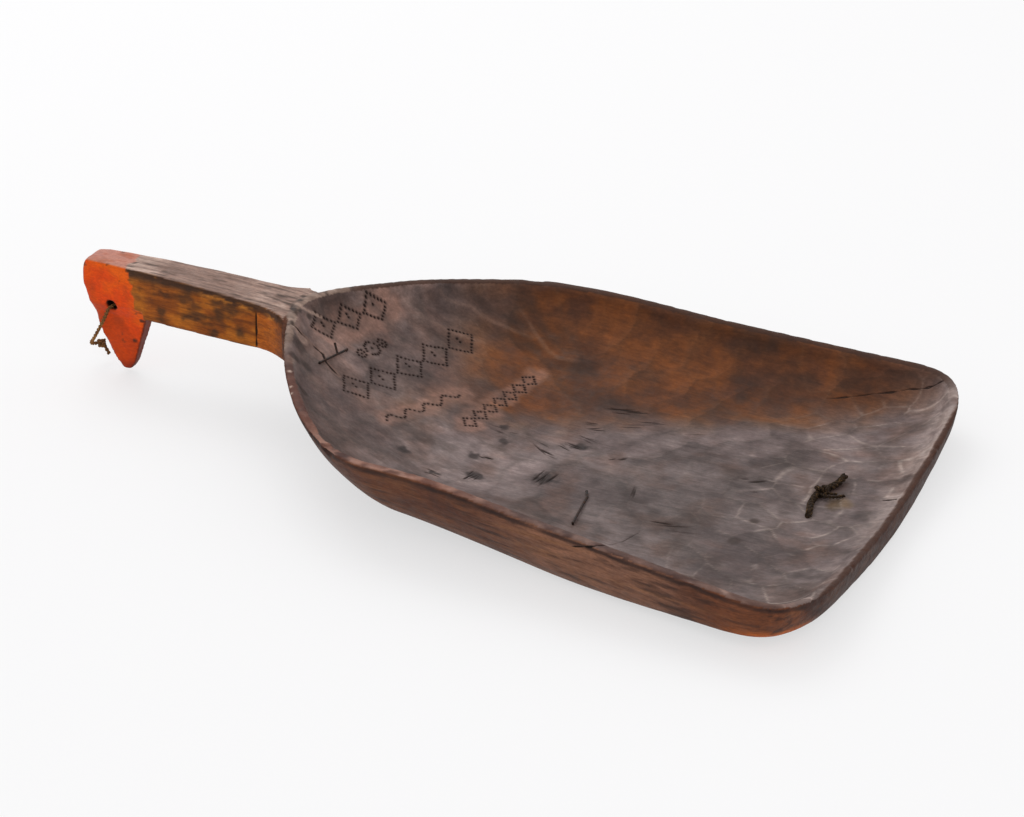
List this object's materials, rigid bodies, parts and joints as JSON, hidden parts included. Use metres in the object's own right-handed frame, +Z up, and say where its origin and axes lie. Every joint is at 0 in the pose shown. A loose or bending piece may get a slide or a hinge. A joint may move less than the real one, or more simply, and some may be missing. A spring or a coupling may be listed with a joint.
{
  "type": "feed scoop",
  "caption": "Hand-carved wooden feed scoop with a wide shallow bowl, square handle, hooked painted butt, twine hang loop and old wire and lace mends.",
  "frame": {"origin": "centre of the scoop's footprint, on the table under the bowl", "axes": "+X runs from the hooked butt to the lip, +Y across the bowl to the left of someone looking along +X, +Z up"},
  "size_m": [0.616, 0.351, 0.09],
  "materials": {
    "wood": "matte",
    "twine": "matte",
    "lace": "matte",
    "iron_wire": "matte"
  },
  "bodies": {
    "scoop": {"carved_scoop": "wood", "lip_lacing": "lace", "back_stitch": "iron_wire", "floor_staple": "iron_wire"},
    "loop": {"hang_loop": "twine"}
  },
  "joints": [
    {"name": "loop_swing", "type": "hinge", "parent": "scoop", "child": "loop", "pos_m": [-0.284, 0, 0.057], "axis": [0, 1, 0], "range_deg": [-15, 85]}
  ]
}
